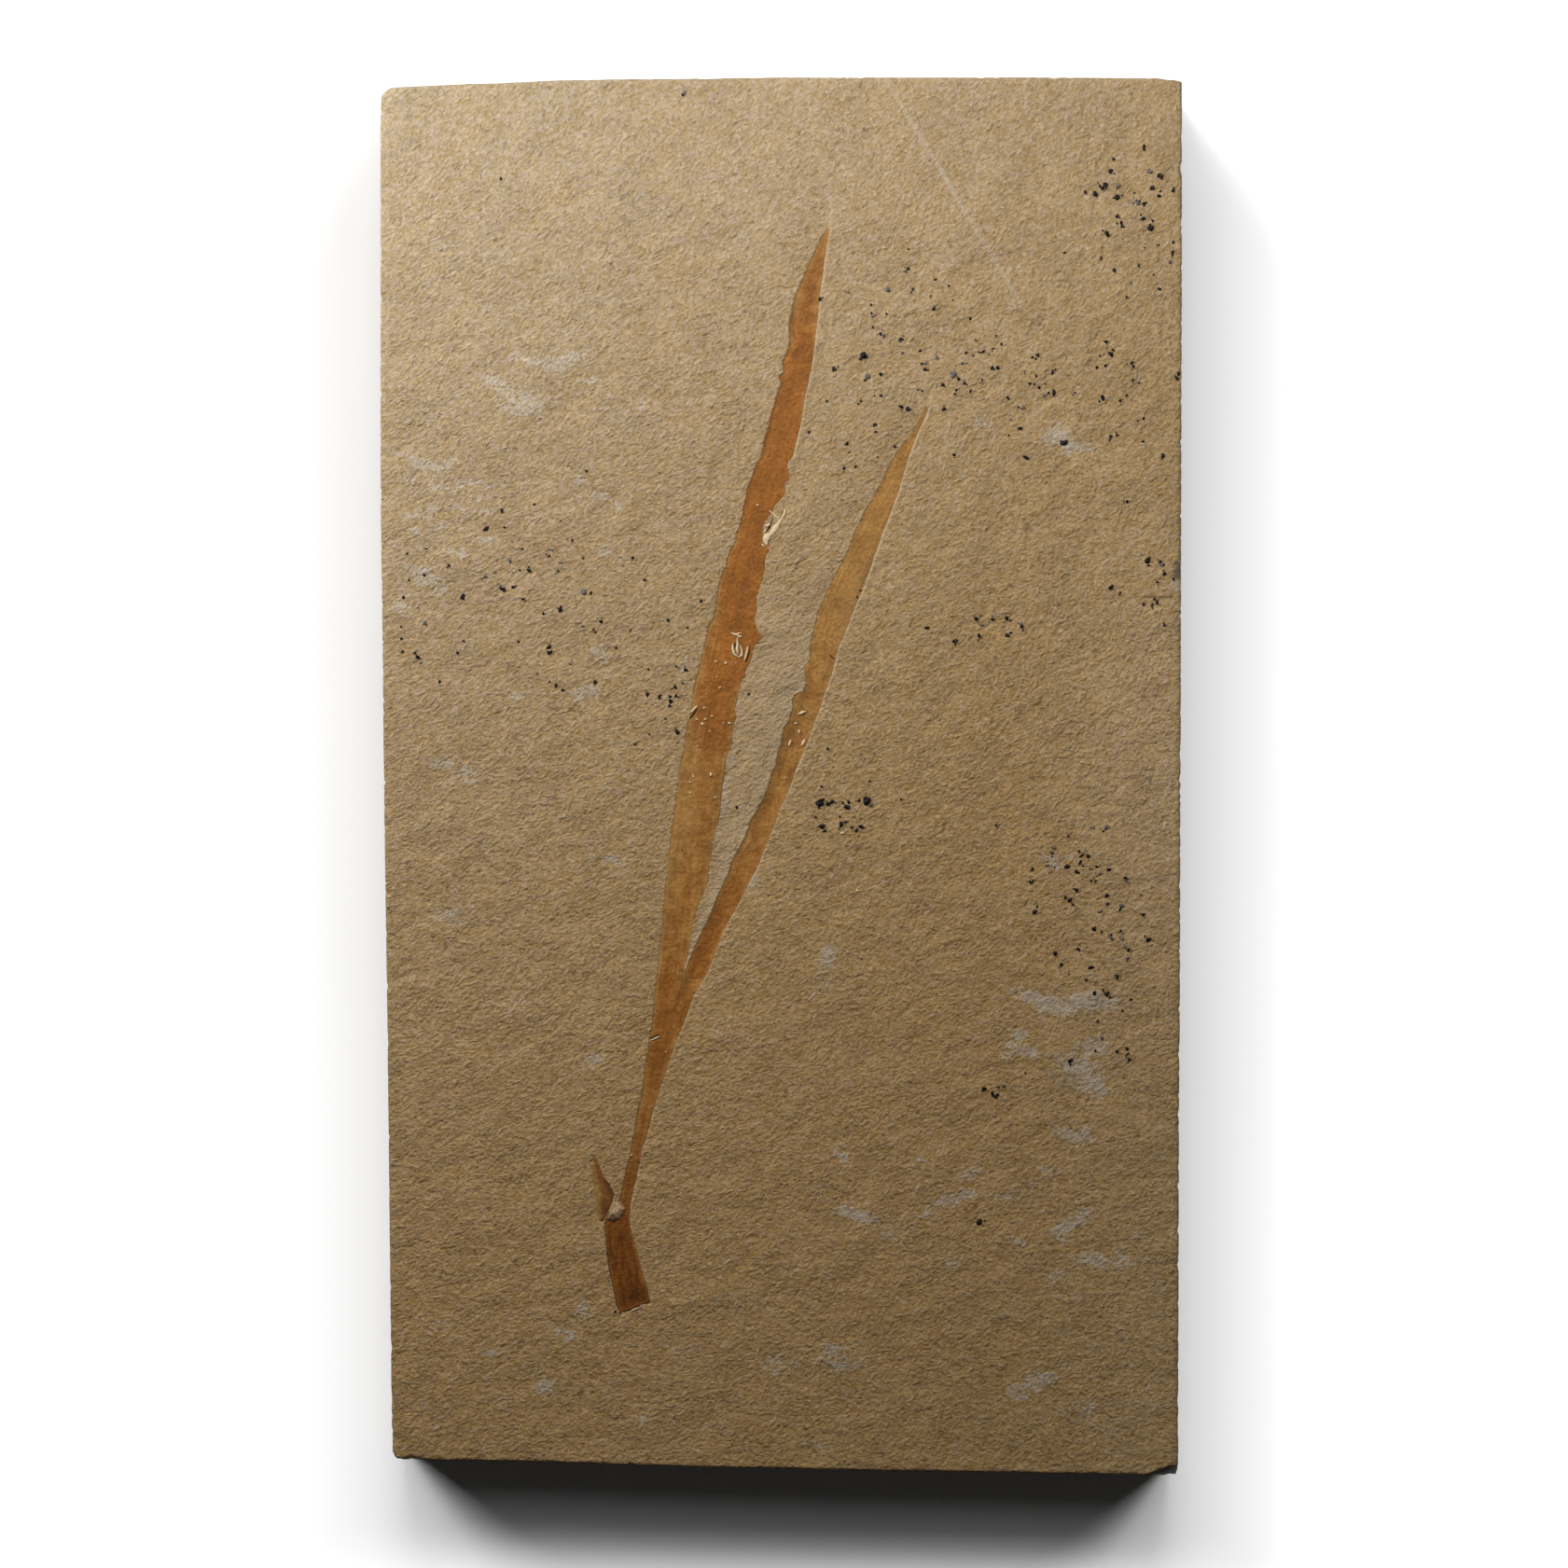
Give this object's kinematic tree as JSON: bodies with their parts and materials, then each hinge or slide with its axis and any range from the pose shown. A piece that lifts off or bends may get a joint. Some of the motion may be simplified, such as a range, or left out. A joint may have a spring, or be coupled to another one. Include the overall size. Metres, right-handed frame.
{
  "type": "fossil leaf plate",
  "caption": "Rectangular sawn limestone plate that lies flat and shows a forked strap-shaped fossil leaf on a short stem, with a small side leaf.",
  "frame": {"origin": "middle of the bounding box of the plate in plan, on the flat back that it lies on", "axes": "+Z out of the face that carries the fossil, +Y along the plate's length towards the leaf's tips, +X to the right of a viewer who looks down on the face"},
  "size_m": [0.2064, 0.36, 0.0235],
  "materials": {
    "limestone": "matt, split surface with a fine rough grain",
    "leaf_film": "satin, thin mineralised film in orange brown",
    "stem_film": "satin, thin mineralised film in dark brown",
    "pale_crust": "matt, crumbly pale crust"
  },
  "bodies": {
    "root": {"stone_slab": "limestone", "long_lobe": "leaf_film", "short_lobe": "leaf_film", "leaf_stalk": "leaf_film", "side_leaf": "leaf_film", "stem": "stem_film", "axil_lump": "pale_crust"}
  },
  "joints": []
}
